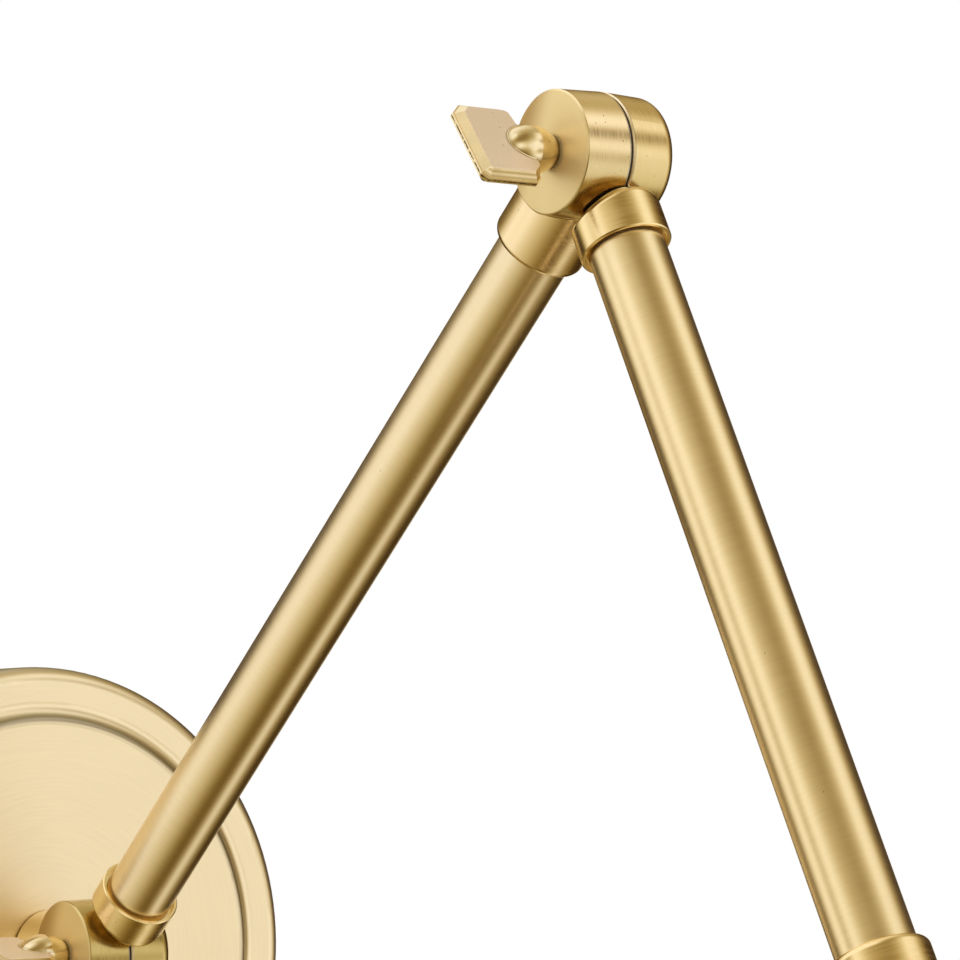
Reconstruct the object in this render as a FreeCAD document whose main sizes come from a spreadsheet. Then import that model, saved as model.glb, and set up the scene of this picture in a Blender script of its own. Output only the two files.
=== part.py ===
"""Adjustable wall lamp with two arms, three friction knuckles and a spun shade.

Frame: millimetres, +Z up, the wall is the plane y = 0 and the lamp stands out towards -Y.
The origin is the middle of the backplate's open back, on the wall.
Every knuckle turns about a line along X. The thumb keys point to -X.
"""
import FreeCAD, Part
import math
import os
import re
import Sketcher

DRIVING = {
    # backplate: a spun cup with a round edge, a flat ring and a raised flat centre
    "plate_radius": 61.25,
    "plate_depth": 25.6,
    "plate_wall": 1.2,
    "plate_edge_round": 3.6,
    "plate_step": 1.7,
    "step_inset": 10.65,
    "step_outer_run": 3.1,
    "step_inner_run": 2.0,
    # crossbar behind the backplate
    "bar_sheet": 2.0,
    "bar_width": 16.0,
    "bar_bend_round": 1.5,
    "bar_tab_height": 13.0,
    "bar_slot_centre": 39.7,
    "bar_slot_length": 16.0,
    "bar_slot_width": 5.0,
    "bar_centre_hole_radius": 6.5,
    "ground_screw_offset": 20.0,
    "small_screw_radius": 2.0,
    "small_head_radius": 4.0,
    "small_head_height": 2.4,
    "small_head_round": 1.2,
    "small_slot_width": 1.0,
    "small_slot_depth": 1.0,
    "side_screw_height": 8.0,
    "side_screw_length": 6.0,
    "hole_clearance": 0.2,
    "side_clearance": 0.3,
    # threads are plain, with a running fit
    "running_fit": 0.08,
    "tube_fit": 0.05,
    # stem through the backplate
    "nipple_radius": 5.0,
    "nipple_bore": 3.6,
    "nipple_tail": 2.0,
    "nipple_reach": 7.5,
    "backing_radius": 22.0,
    "backing_sheet": 1.5,
    "lock_washer_radius": 8.6,
    "lock_washer_sheet": 0.8,
    "stem_nut_across": 17.0,
    "stem_nut_height": 3.0,
    # knuckles
    "collar_gap": 0.5,
    "drum_radius": 11.6,
    "drum_draft": 0.3,
    "drum_gap": 0.5,
    "inner_half_length": 9.8,
    "outer_half_length": 10.4,
    "outer_end_round": 2.6,
    "face_bevel": 0.35,
    "lip_bevel": 0.25,
    "drum_cavity_radius": 8.9,
    "inner_end_wall": 3.0,
    "outer_end_wall": 6.4,
    "ring_inner_radius": 9.2,
    "ring_outer_radius": 11.15,
    "foot_clearance": 0.35,
    "foot_reach": 13.5,
    "foot_round": 1.3,
    "neck_radius": 5.6,
    "foot_blend": 0.5,
    "outer_collar_radius": 8.35,
    "outer_collar_length": 20.2,
    "outer_rim_bevel": 0.2,
    "inner_collar_radius": 8.75,
    "inner_collar_length": 22.4,
    "inner_rim_round": 1.4,
    "wall_rim_round": 0.4,
    "socket_floor": 14.6,
    "wire_hole_radius": 4.5,
    "mouth_radius": 7.7,
    "mouth_depth": 1.2,
    # arms
    "tube_radius": 7.0,
    "tube_wall": 1.0,
    "lower_length": 227.0,
    "lower_angle": 40.22,
    "upper_length": 180.0,
    "upper_angle": 27.24,
    # thumb keys
    "shank_radius": 2.2,
    "shank_reach": 8.0,
    "shank_room": 1.0,
    "key_washer_radius": 3.1,
    "key_washer_sheet": 0.6,
    "boss_foot_radius": 3.25,
    "boss_radius": 4.5,
    "boss_swell": 4.2,
    "boss_nose": 5.8,
    "boss_side_round": 7.1,
    "paddle_start": 15.2,
    "paddle_end": 28.5,
    "paddle_far_width": 8.8,
    "paddle_near_width": 8.45,
    "paddle_slant": 0.5,
    "paddle_thickness": 3.8,
    "paddle_flange": 1.0,
    "paddle_step": 0.2,
    "paddle_far_corner": 2.0,
    "paddle_near_corner": 1.1,
    "paddle_heel_run": 2.2,
    "paddle_heel_drop": 0.9,
    "paddle_heel_side": 0.7,
    "paddle_heel_foot": 3.8,
    "paddle_bevel": 1.3,
    "base_key_angle": -74.0,
    "elbow_key_angle": -34.0,
    "head_key_angle": -12.0,
    # head: distances are measured down from the head knuckle's axis
    "head_stem_end": 27.0,
    "head_thread_end": 38.0,
    "cup_radius": 20.0,
    "cup_wall": 1.0,
    "cup_crown_radius": 11.0,
    "cup_end": 80.0,
    "cup_lip": 0.8,
    "cup_nut_across": 17.0,
    "cup_nut_height": 3.0,
    "socket_start": 31.5,
    "socket_neck_radius": 9.0,
    "socket_shoulder": 41.0,
    "socket_radius": 17.0,
    "socket_bevel": 1.0,
    "socket_end": 94.0,
    "socket_bore_start": 60.0,
    "shell_radius": 13.9,
    "shell_wall": 0.6,
    "shell_end": 91.0,
    "shell_seat": 0.4,
    "contact_radius": 4.0,
    "contact_height": 1.6,
    "contact_button_radius": 2.0,
    "contact_button_height": 1.2,
    # shade and its ring
    "shade_wall": 1.1,
    "shade_hole_clearance": 0.4,
    "shade_flat_radius": 24.0,
    "shade_shoulder": 8.0,
    "shade_rim_radius": 77.0,
    "shade_height": 84.0,
    "shade_lip": 4.0,
    "lip_step_share": 0.25,
    "shade_bead_radius": 1.4,
    "shade_ring_radius": 23.0,
    "shade_ring_height": 6.0,
    "shade_ring_bevel": 0.6,
    "shade_ring_rib_radius": 0.9,
    # rotary switch in the cup's side
    "switch_height": 56.0,
    "bushing_radius": 3.4,
    "bushing_reach": 25.5,
    "switch_nut_across": 10.0,
    "switch_nut_height": 1.8,
    "spindle_radius": 1.9,
    "knob_start": 26.2,
    "knob_length": 11.0,
    "knob_radius": 7.0,
    "knob_taper": 0.6,
    "knob_round": 1.2,
    "knob_flute_radius": 1.1,
    "flute_offset_share": 0.33,
    "knob_recess_depth": 3.0,
    "knob_recess_clearance": 0.8,
    # counts and one overrun that serves every cut
    "overrun": 1.0,
}

KNOB_FLUTES = 14
RING_RIBS = 36
LOCK_TEETH = 12
HEX_SIDES = 6
FULL_TURN = 360.0
MATCH_TOLERANCE = 1e-6
HALF_TURN = 180.0
TRIAL_CELL = "A1"
HALF_ROUND = "half round"
FUNCTIONS = ("sin", "cos", "tan", "sqrt")

doc = FreeCAD.newDocument("adjustable_wall_lamp")
sheet = doc.addObject("Spreadsheet::Sheet", "dims")
trial = doc.addObject("Spreadsheet::Sheet", "trial")
worked_out = {}
nodes = []


def fill_sheet():
    """Writes every driving dimension as a plain number with its alias."""
    for row, (name, value) in enumerate(DRIVING.items(), start=1):
        sheet.set("A%d" % row, name)
        sheet.set("B%d" % row, str(value))
        sheet.setAlias("B%d" % row, name)
    doc.recompute()


def bound(text):
    """Writes the formula as other objects of the document refer to the sheet."""
    def prefix(match):
        word = match.group(0)
        return word if word in FUNCTIONS else "dims." + word
    return re.sub(r"[a-z][a-z_]*", prefix, text)


def number(text):
    """Works out a formula of the sheet's names, for a sketch's first position."""
    if text not in worked_out:
        trial.set(TRIAL_CELL, "=" + bound(text))
        trial.recompute()
        worked_out[text] = float(trial.get(TRIAL_CELL))
    return worked_out[text]


def bind(thing, **formulas):
    """Binds each named property of the object to its formula."""
    for name, text in formulas.items():
        thing.setExpression(name, bound(text))


def place(thing, spot, tip="0", turned=False):
    """Puts the object at the spot, tipped about X, and first turned half round Z if asked."""
    turn = "create(<<rotation>>; create(<<vector>>; 1; 0; 0); %s)" % bound(tip)
    if turned:
        turn += " * create(<<rotation>>; create(<<vector>>; 0; 0; 1); %s)" % HALF_TURN
    corner = "create(<<vector>>; %s)" % "; ".join(bound(text) for text in spot)
    thing.setExpression("Placement", "create(<<placement>>; %s; %s)" % (corner, turn))


def keep(thing, name):
    """Marks a finished sub-part, which is written under its label."""
    thing.Label = name
    nodes.append(thing)
    return thing


def origin_plane(body, role):
    """Finds the body's own origin plane by its role."""
    return next(feature for feature in body.Origin.OriginFeatures if feature.Role == role)


def arc_between(start, stop, text, turn):
    """The arc from start to stop; turn is 1 with its middle on the left of the way, or -1."""
    across, up = stop[0] - start[0], stop[1] - start[1]
    span = math.hypot(across, up)
    radius = span / 2 if text == HALF_ROUND else number(text)
    rise = math.sqrt(max(radius * radius - span * span / 4, 0.0))
    middle_x = (start[0] + stop[0]) / 2 - turn * up / span * rise
    middle_y = (start[1] + stop[1]) / 2 + turn * across / span * rise
    first, last = (start, stop) if turn > 0 else (stop, start)
    circle = Part.Circle(FreeCAD.Vector(middle_x, middle_y, 0), FreeCAD.Vector(0, 0, 1), radius)
    begin = math.atan2(first[1] - middle_y, first[0] - middle_x)
    end = math.atan2(last[1] - middle_y, last[0] - middle_x)
    return Part.ArcOfCircle(circle, begin, end)


def draw(sketch, corners, rounds=None):
    """Draws one closed outline whose corners and radii follow formulas of the sheet.

    rounds maps the number of a side to its radius formula, or HALF_ROUND, and its turn as in
    arc_between.
    """
    rounds = rounds or {}
    spots = [(number(across), number(up)) for across, up in corners]
    base = sketch.GeometryCount
    count = len(spots)
    ends = []
    for index in range(count):
        start, stop = spots[index], spots[(index + 1) % count]
        if index in rounds:
            text, turn = rounds[index]
            sketch.addGeometry(arc_between(start, stop, text, turn), False)
            ends.append((1, 2) if turn > 0 else (2, 1))
        else:
            line = Part.LineSegment(FreeCAD.Vector(*start, 0), FreeCAD.Vector(*stop, 0))
            sketch.addGeometry(line, False)
            ends.append((1, 2))
    for index in range(count):
        after = (index + 1) % count
        join = ("Coincident", base + index, ends[index][1], base + after, ends[after][0])
        sketch.addConstraint(Sketcher.Constraint(*join))
    for index, texts in enumerate(corners):
        point = (base + index, ends[index][0])
        for text, value, kind, axis in zip(texts, spots[index], ("DistanceX", "DistanceY"), (-2, -1)):
            if text == "0":
                sketch.addConstraint(Sketcher.Constraint("PointOnObject", *point, axis))
                continue
            rank = sketch.addConstraint(Sketcher.Constraint(kind, -1, 1, *point, value))
            sketch.setExpression("Constraints[%d]" % rank, bound(text))
    for index, (text, turn) in rounds.items():
        if text == HALF_ROUND:
            arc = base + index
            sketch.addConstraint(Sketcher.Constraint("Symmetric", arc, 1, arc, 2, arc, 3))
            continue
        rank = sketch.addConstraint(Sketcher.Constraint("Radius", base + index, number(text)))
        sketch.setExpression("Constraints[%d]" % rank, bound(text))


def draw_circle(sketch, across, up, radius):
    """Draws one circle whose place and radius follow formulas."""
    middle = FreeCAD.Vector(number(across), number(up), 0)
    circle = Part.Circle(middle, FreeCAD.Vector(0, 0, 1), number(radius))
    index = sketch.addGeometry(circle, False)
    for text, value, kind, axis in ((across, middle.x, "DistanceX", -2), (up, middle.y, "DistanceY", -1)):
        if text == "0":
            sketch.addConstraint(Sketcher.Constraint("PointOnObject", index, 3, axis))
            continue
        rank = sketch.addConstraint(Sketcher.Constraint(kind, -1, 1, index, 3, value))
        sketch.setExpression("Constraints[%d]" % rank, bound(text))
    rank = sketch.addConstraint(Sketcher.Constraint("Radius", index, number(radius)))
    sketch.setExpression("Constraints[%d]" % rank, bound(radius))


def new_body(name):
    """Starts one sub-part."""
    return doc.addObject("PartDesign::Body", name)


def new_sketch(body, name, role):
    """Starts a sketch on one of the body's own origin planes."""
    sketch = body.newObject("Sketcher::SketchObject", body.Name + "_" + name)
    sketch.AttachmentSupport = [(origin_plane(body, role), "")]
    sketch.MapMode = "FlatFace"
    return sketch


def settle(body, feature, grows):
    """Recomputes after one feature and stops if it didn't add, or take away, anything."""
    before = body.Shape.Volume if not body.Shape.isNull() else 0.0
    body.Tip = feature
    doc.recompute()
    after = feature.Shape.Volume
    if (after > before) != grows or abs(after - before) < MATCH_TOLERANCE:
        raise RuntimeError("%s in %s changed %.4f to %.4f" % (feature.Name, body.Name, before, after))


def spin(body, name, kind, role, axis, corners, rounds=None):
    """Adds a Revolution or a Groove of one outline about an axis of its sketch."""
    sketch = new_sketch(body, name + "_outline", role)
    draw(sketch, corners, rounds)
    feature = body.newObject("PartDesign::" + kind, body.Name + "_" + name)
    feature.Profile = sketch
    feature.ReferenceAxis = (sketch, [axis])
    feature.Angle = FULL_TURN
    settle(body, feature, kind == "Revolution")
    return feature


def extrude(body, name, kind, sketch, **formulas):
    """Adds a Pad or a Pocket of the sketch; without a length it cuts both ways through all."""
    feature = body.newObject("PartDesign::" + kind, body.Name + "_" + name)
    feature.Profile = sketch
    feature.Midplane = True
    if formulas:
        bind(feature, **formulas)
    else:
        feature.Type = "ThroughAll"
    settle(body, feature, kind == "Pad")
    return feature


def repeat(body, name, feature, axis, count):
    """Repeats a feature evenly round an axis of the body."""
    pattern = body.newObject("PartDesign::PolarPattern", body.Name + "_" + name)
    pattern.Originals = [feature]
    pattern.Axis = (origin_plane(body, axis), [""])
    pattern.Angle = FULL_TURN
    pattern.Occurrences = count
    body.Tip = pattern
    doc.recompute()


def turned(name, corners, rounds=None):
    """A sub-part turned about its own Z axis; each corner is a radius and a height."""
    body = new_body(name)
    spin(body, "turned", "Revolution", "XZ_Plane", "V_Axis", corners, rounds)
    return keep(body, name)


def ring_corners(bore, radius, low, high):
    """The outline of a plain ring."""
    return [(bore, low), (radius, low), (radius, high), (bore, high)]


BASE_REACH = "(plate_depth + collar_gap + inner_collar_length)"
ELBOW_REACH = "(%s + lower_length * cos(lower_angle))" % BASE_REACH
BASE = ("0", "-" + BASE_REACH, "0")
ELBOW = ("0", "-" + ELBOW_REACH, "lower_length * sin(lower_angle)")
HEAD = ("0",
        "-(%s + upper_length * sin(upper_angle))" % ELBOW_REACH,
        "lower_length * sin(lower_angle) - upper_length * cos(upper_angle)")
WALL = ("0", "0", "0")
OUT_OF_WALL = "90"
DOWN = "180"
LOWER_UP = "90 - lower_angle"
LOWER_DOWN = "270 - lower_angle"
UPPER_DOWN = "180 - upper_angle"
UPPER_UP = "-upper_angle"


def make_backplate():
    """Spun cup: wall, round edge, flat ring and a smooth step up to the flat centre."""
    front = "plate_depth"
    ring = "(plate_depth - plate_step)"
    run = "(step_outer_run + step_inner_run)"
    middle = "(%s + plate_step * step_outer_run / %s)" % (ring, run)
    steep = "(2 * plate_step / %s)" % run
    bend = "(1 + %s * %s) / (2 * %s)" % (steep, steep, steep)
    rim = "plate_radius - plate_edge_round"
    step_radius = "(plate_radius - step_inset)"
    slope_out = step_radius + " + step_outer_run"
    slope_in = step_radius + " - step_inner_run"
    hole = "nipple_radius + hole_clearance"
    corners = [
        ("plate_radius", "0"),
        ("plate_radius", ring + " - plate_edge_round"),
        (rim, ring),
        (slope_out, ring),
        (step_radius, middle),
        (slope_in, front),
        (hole, front),
        (hole, front + " - plate_wall"),
        (slope_in, front + " - plate_wall"),
        (slope_out, ring + " - plate_wall"),
        (rim, ring + " - plate_wall"),
        ("plate_radius - plate_wall", ring + " - plate_edge_round"),
        ("plate_radius - plate_wall", "0"),
    ]
    rounds = {
        1: ("plate_edge_round", 1),
        3: ("step_outer_run * " + bend, -1),
        4: ("step_inner_run * " + bend, 1),
        10: ("plate_edge_round - plate_wall", -1),
    }
    body = turned("backplate", corners, rounds)
    holes = new_sketch(body, "side_holes", "YZ_Plane")
    draw_circle(holes, "0", "side_screw_height", "small_screw_radius + hole_clearance")
    extrude(body, "side_cut", "Pocket", holes)
    place(body, WALL, OUT_OF_WALL)


def tab_face():
    """How far out a tab's outer face may stand inside the round wall."""
    inner = "(plate_radius - plate_wall)"
    return "(sqrt(%s * %s - bar_width * bar_width / 4) - side_clearance)" % (inner, inner)


def slot_outline(sketch, middle):
    """A slot along X about the given middle."""
    half = "(bar_slot_length - bar_slot_width) / 2"
    corners = [
        (middle + " - " + half, "-bar_slot_width / 2"),
        (middle + " + " + half, "-bar_slot_width / 2"),
        (middle + " + " + half, "bar_slot_width / 2"),
        (middle + " - " + half, "bar_slot_width / 2"),
    ]
    draw(sketch, corners, {1: (HALF_ROUND, 1), 3: (HALF_ROUND, 1)})


def make_crossbar():
    """Pressed strap with two bent tabs, two slots, a centre hole and a ground screw hole."""
    body = new_body("crossbar")
    tab = tab_face()
    bend = "(bar_sheet + bar_bend_round)"
    profile = new_sketch(body, "strap", "XZ_Plane")
    corners = [
        ("-(%s - %s)" % (tab, bend), "0"),
        ("%s - %s" % (tab, bend), "0"),
        (tab, bend),
        (tab, "bar_tab_height"),
        (tab + " - bar_sheet", "bar_tab_height"),
        (tab + " - bar_sheet", bend),
        ("%s - %s" % (tab, bend), "bar_sheet"),
        ("-(%s - %s)" % (tab, bend), "bar_sheet"),
        ("-(%s - bar_sheet)" % tab, bend),
        ("-(%s - bar_sheet)" % tab, "bar_tab_height"),
        ("-" + tab, "bar_tab_height"),
        ("-" + tab, bend),
    ]
    rounds = {
        1: (bend, 1),
        5: ("bar_bend_round", -1),
        7: ("bar_bend_round", -1),
        11: (bend, 1),
    }
    draw(profile, corners, rounds)
    extrude(body, "bar", "Pad", profile, Length="bar_width")
    holes = new_sketch(body, "holes", "XY_Plane")
    slot_outline(holes, "bar_slot_centre")
    slot_outline(holes, "-bar_slot_centre")
    draw_circle(holes, "0", "0", "bar_centre_hole_radius")
    draw_circle(holes, "ground_screw_offset", "0", "small_screw_radius + running_fit")
    extrude(body, "hole_cut", "Pocket", holes)
    taps = new_sketch(body, "taps", "YZ_Plane")
    draw_circle(taps, "0", "side_screw_height", "small_screw_radius + running_fit")
    extrude(body, "tap_cut", "Pocket", taps)
    place(keep(body, "crossbar"), WALL, OUT_OF_WALL)


def screw_corners(length):
    """Outline of a small pan head screw whose head sits on height zero and points up."""
    corners = [
        ("0", "-(%s)" % length),
        ("small_screw_radius", "-(%s)" % length),
        ("small_screw_radius", "0"),
        ("small_head_radius", "0"),
        ("small_head_radius", "small_head_height - small_head_round"),
        ("small_head_radius - small_head_round", "small_head_height"),
        ("0", "small_head_height"),
    ]
    return corners, {4: ("small_head_round", 1)}


def driver_slot(body):
    """Cuts the straight driver slot across a small screw's head."""
    slot = new_sketch(body, "driver_slot", "XZ_Plane")
    low, high = "small_head_height - small_slot_depth", "small_head_height + overrun"
    half = "small_slot_width / 2"
    draw(slot, [("-" + half, low), (half, low), (half, high), ("-" + half, high)])
    extrude(body, "driver_cut", "Pocket", slot)


def make_ground_screw():
    """Earthing screw in the crossbar, flush with the strap's back."""
    body = turned("ground_screw", *screw_corners("bar_sheet"))
    driver_slot(body)
    place(body, ("ground_screw_offset", "-bar_sheet", "0"), OUT_OF_WALL)


def make_side_screws():
    """Two screws along X through the backplate's wall into the crossbar's tabs."""
    pair = []
    for side, word in ((1, "right"), (-1, "left")):
        body = new_body("side_screw_" + word)
        spin(body, "turned", "Revolution", "XZ_Plane", "V_Axis", *screw_corners("side_screw_length"))
        driver_slot(body)
        turn = "create(<<rotation>>; create(<<vector>>; 0; 1; 0); %d)" % (90 * side)
        corner = "%d * (plate_radius + tube_fit); -side_screw_height; 0" % side
        spot = "create(<<vector>>; %s)" % bound(corner)
        body.setExpression("Placement", "create(<<placement>>; %s; %s)" % (spot, turn))
        pair.append(body)
    both = doc.addObject("Part::Compound", "backplate_side_screws")
    both.Links = pair
    keep(both, "backplate_side_screws")


def hex_nut(name, across, height, bore):
    """A plain hex nut standing on its own origin."""
    block = doc.addObject("Part::Prism", name + "_block")
    block.Polygon = HEX_SIDES
    bind(block, Circumradius="%s / (2 * cos(30))" % across, Height=height)
    hole = doc.addObject("Part::Cylinder", name + "_hole")
    bind(hole, Radius=bore, Height=height + " + 2 * overrun")
    hole.setExpression("Placement.Base.z", bound("-overrun"))
    nut = doc.addObject("Part::Cut", name)
    nut.Base, nut.Tool = block, hole
    return keep(nut, name)


def make_stem_parts():
    """Backing plate, toothed washer, nut and nipple inside the backplate, and the short stem."""
    back = "(plate_depth - plate_wall)"
    washer_top = "(%s - backing_sheet)" % back
    nut_top = "(%s - lock_washer_sheet)" % washer_top
    bore = "nipple_radius + hole_clearance"
    thread = "nipple_radius + running_fit"
    plate = turned("backing_plate", ring_corners(bore, "backing_radius", washer_top, back))
    place(plate, WALL, OUT_OF_WALL)

    washer = turned("stem_lock_washer", ring_corners(bore, "lock_washer_radius", nut_top, washer_top))
    notch = new_sketch(washer, "notch", "XY_Plane")
    draw_circle(notch, "lock_washer_radius", "0", "lock_washer_sheet")
    cut = extrude(washer, "notch_cut", "Pocket", notch)
    repeat(washer, "teeth", cut, "Z_Axis", LOCK_TEETH)
    place(washer, WALL, OUT_OF_WALL)

    nut = hex_nut("stem_locknut", "stem_nut_across", "stem_nut_height", thread)
    place(nut, ("0", "-(%s - stem_nut_height)" % nut_top, "0"), OUT_OF_WALL)

    tail = "%s - stem_nut_height - nipple_tail" % nut_top
    nipple = turned("stem_nipple", ring_corners("nipple_bore", "nipple_radius", tail,
                                                "plate_depth + nipple_reach"))
    place(nipple, WALL, OUT_OF_WALL)

    stem = turned("base_stem", ring_corners(thread, "tube_radius", "plate_depth",
                                            BASE_REACH + " - socket_floor"))
    place(stem, WALL, OUT_OF_WALL)


def round_edges(body, name, size, chosen):
    """Rounds the edges whose middle point the rule chooses."""
    names = []
    for index, edge in enumerate(body.Shape.Edges, start=1):
        if chosen(edge.valueAt((edge.FirstParameter + edge.LastParameter) / 2)):
            names.append("Edge%d" % index)
    base = body.Tip
    fillet = body.newObject("PartDesign::Fillet", body.Name + "_" + name)
    fillet.Base = (base, names)
    bind(fillet, Radius=size)
    return fillet


def stand_off(body, collar_radius):
    """Cuts the collar's foot clear of both drums, rounds its edge and adds a narrower neck."""
    wide = "(%s + overrun)" % collar_radius
    spin(body, "foot_cut", "Groove", "XY_Plane", "H_Axis", [
        ("-" + wide, "0"),
        (wide, "0"),
        (wide, "foot_reach"),
        ("-" + wide, "foot_reach"),
    ])
    side = number(collar_radius)
    reach = number("foot_reach")

    def at_foot(spot):
        """True on the line where the collar's side meets the cut."""
        off_side = abs(math.hypot(spot.x, spot.y) - side)
        return max(off_side, abs(math.hypot(spot.y, spot.z) - reach)) < MATCH_TOLERANCE

    settle(body, round_edges(body, "foot_edge", "foot_round", at_foot), False)
    top = "foot_reach + overrun"
    spin(body, "neck", "Revolution", "XZ_Plane", "V_Axis", [
        ("0", "0"),
        ("neck_radius", "0"),
        ("neck_radius", top),
        ("0", top),
    ])


def blend_foot(body):
    """Rounds out the corner between the inner collar and its own drum."""
    side = number("inner_collar_radius")
    inmost = number("drum_gap / 2 + lip_bevel")
    low = number("drum_radius - drum_draft")
    high = number("drum_radius")

    def at_corner(spot):
        """True on the line where the collar's side meets the drum's side."""
        on_side = abs(math.hypot(spot.x, spot.y) - side) < MATCH_TOLERANCE
        return on_side and spot.x > inmost and low < math.hypot(spot.y, spot.z) < high

    settle(body, round_edges(body, "foot_blend", "foot_blend", at_corner), True)


def knuckle_half(name, spot, tip, outer, rim=None):
    """One half drum with its own collar, which stands over both halves.

    It is made on the +X side with the collar along +Z. The inner half is turned half round,
    so that its flat face looks to -X; the outer half has the tapped hole and the round end.
    """
    body = new_body(name)
    collar_radius = "outer_collar_radius" if outer else "inner_collar_radius"
    collar_length = "outer_collar_length" if outer else "inner_collar_length"
    rim = rim or ("outer_rim_bevel" if outer else "inner_rim_round")
    collar = [
        ("0", "0"),
        (collar_radius, "0"),
        (collar_radius, "%s - %s" % (collar_length, rim)),
        ("%s - %s" % (collar_radius, rim), collar_length),
        ("0", collar_length),
    ]
    spin(body, "collar", "Revolution", "XZ_Plane", "V_Axis", collar, {} if outer else {2: (rim, 1)})
    if outer:
        stand_off(body, collar_radius)

    half_gap = "drum_gap / 2"
    room = "(drum_radius + foot_clearance)"
    spin(body, "other_half_room", "Groove", "XY_Plane", "H_Axis", [
        ("-(inner_collar_radius + overrun)", "0"),
        (half_gap, "0"),
        (half_gap, room),
        ("-(inner_collar_radius + overrun)", room),
    ])

    length = "outer_half_length" if outer else "inner_half_length"
    end_round = "outer_end_round" if outer else "face_bevel"
    end_radius = "(drum_radius - drum_draft)"
    drum = [
        (half_gap, "0"),
        (half_gap, "drum_radius - lip_bevel"),
        (half_gap + " + lip_bevel", "drum_radius"),
        ("%s - %s" % (length, end_round), end_radius),
        (length, "%s - %s" % (end_radius, end_round)),
        (length, "0"),
    ]
    spin(body, "drum", "Revolution", "XY_Plane", "H_Axis", drum, {3: (end_round, -1)} if outer else {})
    if not outer:
        blend_foot(body)

    bore = "shank_radius + running_fit"
    if outer:
        cavity_end = "outer_half_length - outer_end_wall"
        bore_end = "shank_reach + shank_room"
    else:
        cavity_end = "inner_half_length - inner_end_wall"
        bore_end = "inner_half_length + overrun"
    spin(body, "cavity", "Groove", "XY_Plane", "H_Axis", [
        ("0", "0"),
        ("0", "drum_cavity_radius"),
        (cavity_end, "drum_cavity_radius"),
        (cavity_end, bore),
        (bore_end, bore),
        (bore_end, "0"),
    ])

    socket = "tube_radius + tube_fit"
    top = collar_length + " + overrun"
    hole = "wire_hole_radius"
    steps = [("0", "0"), (hole, "0"), (hole, "socket_floor"), (socket, "socket_floor")]
    if outer:
        mouth = collar_length + " - mouth_depth"
        steps += [(socket, mouth), ("mouth_radius", mouth), ("mouth_radius", top), ("0", top)]
    else:
        steps += [(socket, top), ("0", top)]
    spin(body, "socket", "Groove", "XZ_Plane", "V_Axis", steps)
    place(keep(body, name), spot, tip, turned=not outer)


def make_friction_ring(name, spot, tip):
    """Thin ring between the half drums."""
    body = new_body(name)
    spin(body, "ring", "Revolution", "XY_Plane", "H_Axis", [
        ("-drum_gap / 2", "ring_inner_radius"),
        ("drum_gap / 2", "ring_inner_radius"),
        ("drum_gap / 2", "ring_outer_radius"),
        ("-drum_gap / 2", "ring_outer_radius"),
    ])
    place(keep(body, name), spot, tip)


def paddle_outline(sketch, inset):
    """The key's paddle from the side, with a small corner at each end and a sloped heel."""
    start = "(paddle_start + %s)" % inset
    end = "(paddle_end - %s)" % inset
    near_end = "(paddle_end - %s - paddle_slant)" % inset
    near = "(paddle_near_width - %s)" % inset
    far = "(paddle_far_width - %s)" % inset
    draw(sketch, [
        (start, "-(%s - paddle_near_corner)" % near),
        (start + " + paddle_near_corner", "-" + near),
        (near_end + " - paddle_near_corner", "-" + near),
        (near_end, "-(%s - paddle_near_corner)" % near),
        (end, far + " - paddle_far_corner"),
        (end + " - paddle_far_corner", far),
        (start + " + paddle_heel_run", far),
        (start + " + paddle_heel_side", far + " - paddle_heel_drop"),
        (start, far + " - paddle_heel_foot"),
    ])


def boss_outline(foot):
    """The boss from its foot over the swollen side to the nose: two arcs that run on smoothly."""
    swell = "(%s + boss_swell)" % foot
    nose = "(%s + boss_nose)" % swell
    rise = "(boss_radius - boss_foot_radius)"
    rear_round = "(boss_swell * boss_swell + %s * %s) / (2 * %s)" % (rise, rise, rise)
    low = "(boss_side_round - boss_radius)"
    short = "(boss_side_round - boss_nose)"
    ahead = "((%s * %s - %s * %s) / (2 * %s))" % (low, low, short, short, short)
    tip_round = "(boss_nose - %s)" % ahead
    reach = "boss_side_round / (boss_side_round - %s)" % tip_round
    corners = [
        ("-shank_reach", "0"),
        (nose, "0"),
        ("%s + %s * %s" % (swell, ahead, reach), "%s * %s - %s" % (low, reach, low)),
        (swell, "boss_radius"),
        (foot, "boss_foot_radius"),
        (foot, "shank_radius"),
        ("-shank_reach", "shank_radius"),
    ]
    return corners, {1: (tip_round, 1), 2: ("boss_side_round", 1), 3: (rear_round, 1)}


def make_key(name, spot, tip):
    """Cast thumb key: threaded shank, swollen boss and a stepped paddle in the XZ plane."""
    body = new_body(name)
    foot = "(inner_half_length + key_washer_sheet)"
    spin(body, "boss", "Revolution", "XY_Plane", "H_Axis", *boss_outline(foot))

    flange = new_sketch(body, "flange", "XZ_Plane")
    paddle_outline(flange, "0")
    extrude(body, "flange_pad", "Pad", flange, Length="paddle_flange")
    blade = new_sketch(body, "blade", "XZ_Plane")
    paddle_outline(blade, "paddle_step")
    extrude(body, "blade_pad", "Pad", blade, Length="paddle_thickness")
    bevel_blade(body)
    place(keep(body, name), spot, tip, turned=True)

    washer = new_body(name + "_washer")
    bore = "shank_radius + running_fit"
    spin(washer, "ring", "Revolution", "XY_Plane", "H_Axis", [
        ("inner_half_length", bore),
        ("inner_half_length", "key_washer_radius"),
        (foot, "key_washer_radius"),
        (foot, bore),
    ])
    place(keep(washer, name + "_washer"), spot, tip, turned=True)


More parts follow.
